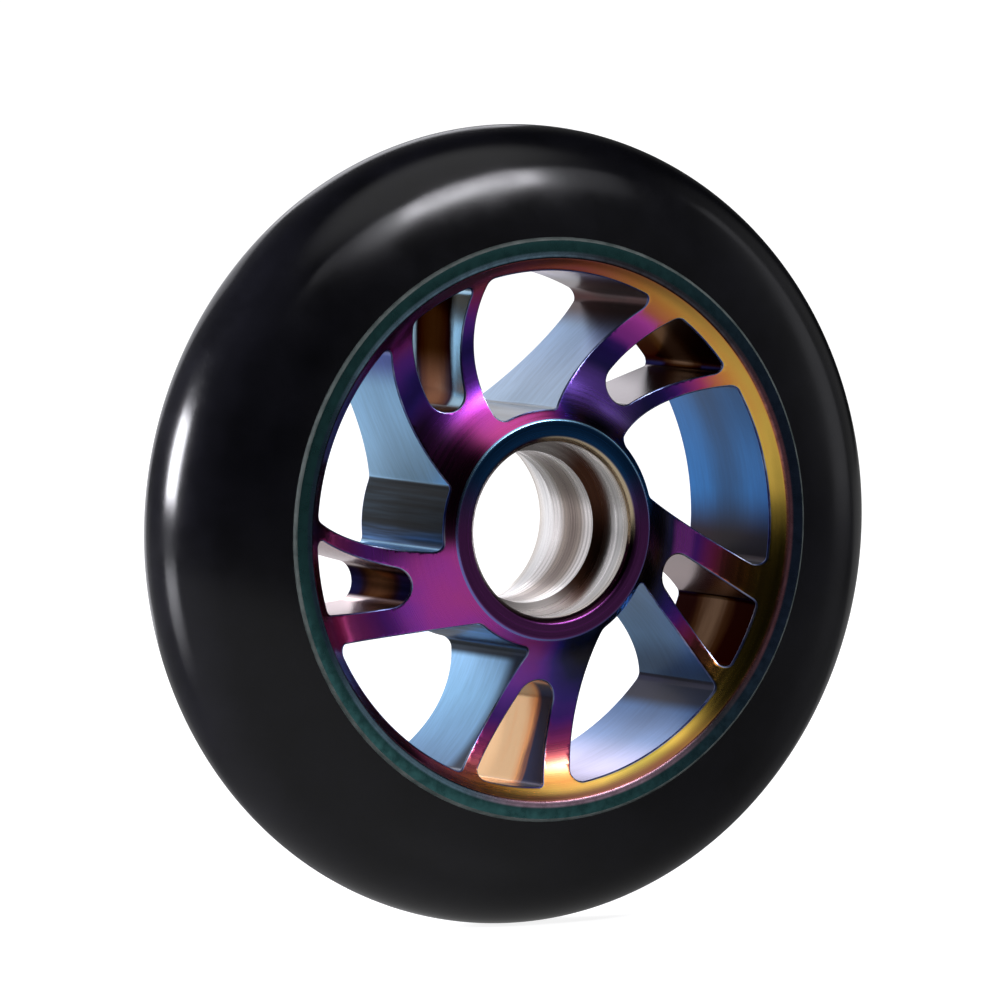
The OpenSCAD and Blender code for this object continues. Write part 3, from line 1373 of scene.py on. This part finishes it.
    def cutter(
        self, name: str, outline: Outline, wall: Skin, materials: Sequence[bpy.types.Material]
    ) -> bpy.types.Object:
        """Make the body that cuts one opening, flared so that it breaks the edges of both faces.

        Args:
            name: Name of the cutter.
            outline: Outline of the opening.
            wall: How the wall of the opening is finished.
            materials: The core's material slots, which the cut faces take.

        Returns:
            The cutter.
        """
        bend = 1 - math.sqrt(0.5)
        run_out = 3.0
        spread = [0.0, bend, run_out, run_out]
        sink = [-1.0, -bend, (run_out - 1) * math.tan(math.pi / 8), None]
        half: List[List[Place]] = []
        for out, lift in zip(spread, sink):
            ring = []
            for p, way in zip(outline.points, outline.ways_out):
                x, z = (p[i] + way[i] * out * self.edge_break for i in (0, 1))
                level = self.cut_past
                if lift is not None:
                    level = self.dish_height(math.hypot(x, z)) + lift * self.edge_break
                ring.append((x, level, z))
            half.append(ring)
        rings = [[(x, -y, z) for x, y, z in ring] for ring in reversed(half)] + half
        tube = rolled_tube(name, rings)
        for material in materials:
            tube.data.materials.append(material)
        around = len(outline.points)
        wall_row = len(half) - 1
        for i, face in enumerate(tube.data.polygons):
            face.material_index = wall if i // around == wall_row else Skin.EDGE
        return tube

    def skin_of(self, face: bpy.types.MeshPolygon) -> Skin:
        """Say how a face of the turned blank is finished.

        Args:
            face: The face.

        Returns:
            Its material slot.
        """
        radius = math.hypot(face.center.x, face.center.z)
        mouth = self.hub_half - self.mouth_coat_share * self.seat_chamfer
        if radius < self.seat_r + self.coat_margin:
            return Skin.BORE
        if radius > self.rim.radius - self.rim.bevel + self.coat_margin:
            return Skin.SEAM
        if abs(face.center.y) > mouth and radius < self.hub_face_r + self.hub_coat_past:
            return Skin.HUB
        if radius > self.lip_in_r - self.lip_coat_past:
            return Skin.LIP
        return Skin.DISH

    def lies_level(self, face: bpy.types.MeshPolygon) -> bool:
        """Say whether a face of a slot's wall lies level, or in the bottom slot, where the coat is thin.

        Args:
            face: The face.

        Returns:
            True where it does.
        """
        radius = math.hypot(face.center.x, face.center.z)
        lean = (face.normal.x * face.center.x + face.normal.z * face.center.z) / radius
        level = abs(face.normal.x) < self.level_side and lean > self.level_lean
        return level or face.center.z < self.bottom_up * radius

    def cut(self, core: bpy.types.Object, cutter: bpy.types.Object) -> None:
        """Cut one opening between all spokes, and remove the cutter.

        Args:
            core: The turned blank.
            cutter: The body that cuts one opening.
        """
        edit_all(cutter)
        copies = self.spokes - 1
        sweep = 2 * math.pi / self.spokes * copies
        bpy.ops.mesh.spin(steps=copies, dupli=True, angle=sweep, center=(0, 0, 0), axis=AXLE_DIRECTION)
        bpy.ops.object.mode_set(mode="OBJECT")
        cut = core.modifiers.new("cut", "BOOLEAN")
        cut.operation = "DIFFERENCE"
        cut.solver = "EXACT"
        cut.object = cutter
        apply_modifier(core, cut.name)
        bpy.data.objects.remove(cutter)

    def build(self) -> bpy.types.Object:
        """Turn the blank, cut its openings and dress it.

        Returns:
            The finished core.
        """
        finishes = {
            Skin.DISH: DishCoat("dish_coat", self.effects),
            Skin.HUB: HubCoat("hub_coat", self.effects),
            Skin.LIP: LipCoat("lip_coat", self.effects),
            Skin.WALL: WallCoat("wall_coat", self.effects),
            Skin.SLOT: SlotCoat("slot_coat", self.effects),
            Skin.EDGE: EdgeCoat("edge_coat", self.effects),
            Skin.BORE: BareMetal("bare_turned_metal", self.effects),
            Skin.SEAM: SeamFlash("seam_flash", self.effects),
            Skin.LEVEL_SLOT: SlotCoat("level_slot_coat", self.effects, WHITE),
        }
        materials = [finishes[skin].build() for skin in Skin]
        core = turned_body("machined_core", both_faces(self.half_section()), self.turn_steps)
        for material in materials:
            core.data.materials.append(material)
        for face in core.data.polygons:
            face.material_index = self.skin_of(face)
        self.cut(core, self.cutter("window_cutter", self.window(), Skin.WALL, materials))
        self.cut(core, self.cutter("slot_cutter", self.slot(), Skin.SLOT, materials))
        for face in core.data.polygons:
            if face.material_index == Skin.SLOT and self.lies_level(face):
                face.material_index = Skin.LEVEL_SLOT
        shade_smooth(core, self.sharp_angle)
        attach(core, BODY)
        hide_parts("core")
        return core


@dataclass
class Tyre:
    """The urethane tyre, cast round the rim."""

    effects: Effects
    rim: RimSection
    radius: float = 50.0 * MM
    crown_r: float = 9.3 * MM
    flank_r: float = 34.0 * MM
    step: float = 0.35 * MM
    turn_steps: int = 360
    sharp_angle: float = 30.0

    def half_section(self) -> List[Point]:
        """Draw the front half of the section.

        Returns:
            Radius and height of its points, from the rim's rib out over the flank to just before the crown.
        """
        inner = self.rim.points()[1:]
        crown = (self.radius - self.crown_r, 0.0)
        foot = inner[0]
        flank = meet(crown, self.flank_r - self.crown_r, foot, self.flank_r, 1)
        join = toward(flank, crown, self.flank_r)
        outer = arc_points(flank, foot, join, False, self.step)
        outer += arc_points(crown, join, (self.radius, 0.0), False, self.step)
        return list(reversed(inner[1:])) + outer

    def build(self) -> bpy.types.Object:
        """Turn the tyre and dress it.

        Returns:
            The finished tyre.
        """
        half = self.half_section()
        section = [(r, -h) for r, h in half] + [(self.radius, 0.0)] + [(r, h) for r, h in reversed(half)]
        tyre = turned_body("cast_tyre", section, self.turn_steps)
        tyre.data.materials.append(Urethane("black_urethane", self.effects).build())
        shade_smooth(tyre, self.sharp_angle)
        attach(tyre, BODY)
        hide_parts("tyre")
        return tyre


# The studio


def set_up(data: bpy.types.ID, azimuth: float, elevation: float, distance: float) -> bpy.types.Object:
    """Set up a lamp or a camera in the studio, looking at the wheel.

    Args:
        data: The lamp's or the camera's own data.
        azimuth: Degrees from the front towards the right.
        elevation: Degrees above the axle.
        distance: Metres from the wheel's centre.

    Returns:
        The object.
    """
    obj = bpy.data.objects.new(data.name, data)
    bpy.context.scene.collection.objects.link(obj)
    way = direction(azimuth, elevation)
    obj.location = way * distance
    obj.rotation_euler = way.to_track_quat("Z", "Y").to_euler()
    return obj


@dataclass(frozen=True)
class Softbox:
    """A soft rectangular lamp that looks at the wheel."""

    name: str
    azimuth: float
    elevation: float
    distance: float
    width: float
    height: float
    brightness: float

    def build(self) -> None:
        """Hang the lamp. Its brightness is that of its face, where 1 is white."""
        data = bpy.data.lights.new(self.name, "AREA")
        data.shape = "RECTANGLE"
        data.size, data.size_y = self.width, self.height
        data.energy = self.brightness * math.pi * self.width * self.height
        data.color = LAMP_TINT
        set_up(data, self.azimuth, self.elevation, self.distance).visible_camera = False


@dataclass(frozen=True)
class Glow:
    """A soft glow on the walls of the room.

    The edge and the core are the cosines of the angles from its middle at which it starts and is full, and
    the strengths are those outside of it and at its core.
    """

    azimuth: float
    elevation: float
    edge: float
    core: float
    outside: float
    inside: float

    def build(self, graph: Graph, way: Socket) -> Socket:
        """Make the glow's strength in a direction of the room."""
        facing = graph.measure("DOT_PRODUCT", way, direction(self.azimuth, self.elevation))
        return graph.fade(facing, self.edge, self.core, self.outside, self.inside)


@dataclass
class Studio:
    """A white room: pale floor, soft lamps and the camera."""

    floor_z: float
    floor_size: float = 6.0
    camera_azimuth: float = -29.19
    camera_elevation: float = 4.11
    camera_distance: float = 1.8
    camera_reach: float = 20.0
    focal_pixels: float = 14413.0
    sensor: float = 36.0
    off_centre: Point = (6.8, 24.1)
    lamps: Sequence[Softbox] = (
        Softbox("overhead_softbox", 20.0, 42.0, 0.9, 0.9, 0.14, 1.2),
        Softbox("overhead_core", 23.5, 42.0, 0.9, 0.35, 0.075, 30.0),
        Softbox("overhead_left", 5.0, 39.0, 0.9, 0.14, 0.1, 4.0),
        Softbox("left_strip", -110.0, 12.5, 0.8, 0.28, 0.24, 66.0),
        Softbox("right_fill", 78.0, 12.0, 0.8, 0.14, 0.6, 0.6),
        Softbox("back_softbox", 160.0, 24.0, 0.8, 0.3, 0.2, 1.4),
        Softbox("back_card", -177.0, 15.0, 0.065, 0.093, 0.085, 0.7),
    )
    glows: Sequence[Glow] = (
        Glow(180.0, 12.0, 0.6, 0.97, 0.004, 0.1),
        Glow(40.0, -5.0, 0.7, 0.95, 0.0, 0.12),
        Glow(20.0, 70.0, 0.84, 0.97, 0.0, 1.0),
        Glow(84.0, 5.0, 0.77, 0.96, 0.0, 0.17),
    )

    def build(self) -> None:
        """Set up the whole studio."""
        bpy.context.scene.view_settings.view_transform = "Standard"
        self.build_world()
        self.build_floor()
        for lamp in self.lamps:
            lamp.build()
        self.build_camera()

    @staticmethod
    def seen_directly(graph: Graph) -> Tuple[Socket, Socket]:
        """Tell apart the rays that meet the room.

        Args:
            graph: The graph to build in.

        Returns:
            A value of 1 for rays from the camera, also through glass, and one of 1 for reflected rays.
        """
        path = graph.node("LightPath").outputs
        return graph.largest(path["Is Camera Ray"], path["Is Transmission Ray"]), path["Is Glossy Ray"]

    def build_world(self) -> None:
        """Make the room look white, and let it light the wheel by a few soft glows on its walls."""
        world = bpy.data.worlds.new("white_room")
        bpy.context.scene.world = world
        world.use_nodes = True
        graph = Graph(world.node_tree)
        way = graph.node("TexCoord").outputs["Generated"]
        seen, _ = self.seen_directly(graph)
        background = world.node_tree.nodes["Background"]
        graph.feed(background.inputs["Color"], WHITE)
        strength = graph.largest(seen, *[glow.build(graph, way) for glow in self.glows])
        graph.feed(background.inputs["Strength"], strength)

    def build_floor(self) -> None:
        """Lay the pale floor, which looks white and keeps a soft shadow.

        In reflections it is dim, but for painted glows near the wheel.
        """
        bpy.ops.object.select_all(action="DESELECT")
        bpy.ops.mesh.primitive_plane_add(size=self.floor_size, location=(0, 0, self.floor_z))
        floor = bpy.context.object
        floor.name = "floor"
        work = Paint("pale_floor")
        source = work.node("TexCoord").outputs["Object"]
        x, y, _ = work.parts(source)
        reach = work.measure("LENGTH", source)
        # Painted glows that only reflections see: a patch on the left in front of the wheel, and a fainter
        # one at the back.
        left = work.times(
            work.fade(x, -0.03, 0.06, 0.38, 0.08),
            work.fade(reach, 0.34, 0.2, 0.03, 1.0),
            work.fade(y, 0.03, -0.01, 0.25, 1.0),
        )
        slant = work.plus(x, work.times(y, 0.35))
        rear_glow = work.times(work.fade(y, 0.02, 0.06, 0.0, 0.2), work.fade(slant, -0.036, -0.018, 0.2, 1.0))
        seen, mirrored = self.seen_directly(work)
        shown = work.times(mirrored, work.largest(left, rear_glow))
        white = work.times(seen, work.fade(reach, 0.1, 0.25, 0.85, 1.0))
        work.put("Base Color", work.mix(mirrored, (0.7, 0.7, 0.7, 1.0), (0.1, 0.1, 0.1, 1.0)))
        work.put("Roughness", 0.2)
        work.put("Specular IOR Level", 0.06)
        work.put("Emission Color", WHITE)
        work.put("Emission Strength", work.largest(white, shown))
        floor.data.materials.append(work.material)
        floor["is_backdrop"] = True

    def build_camera(self) -> None:
        """Put the camera at the portrait's angle."""
        data = bpy.data.cameras.new("portrait_camera")
        data.sensor_width = self.sensor
        data.lens = self.focal_pixels * self.sensor / PICTURE_PIXELS
        data.shift_x = -self.off_centre[0] / PICTURE_PIXELS
        data.shift_y = self.off_centre[1] / PICTURE_PIXELS
        data.clip_end = self.camera_reach
        place = (self.camera_azimuth, self.camera_elevation, self.camera_distance)
        bpy.context.scene.camera = set_up(data, *place)


def corners_of(bounds: Tuple[Vector, Vector]) -> List[List[float]]:
    """Return a box's two corners as plain lists of numbers."""
    return [[float(c) for c in corner] for corner in bounds]


def main() -> None:
    """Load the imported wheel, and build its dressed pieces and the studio."""
    logging.basicConfig(level=logging.INFO, format="%(name)s: %(message)s")
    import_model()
    cad_box = corners_of(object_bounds())
    floor_z = cad_box[0][2]
    effects = Effects()
    rim = RimSection()
    for piece in (Core(effects, rim).build(), Tyre(effects, rim).build()):
        LOG.info("%s has %d faces", piece.name, len(piece.data.polygons))
    Studio(floor_z).build()


if __name__ == "__main__":
    main()
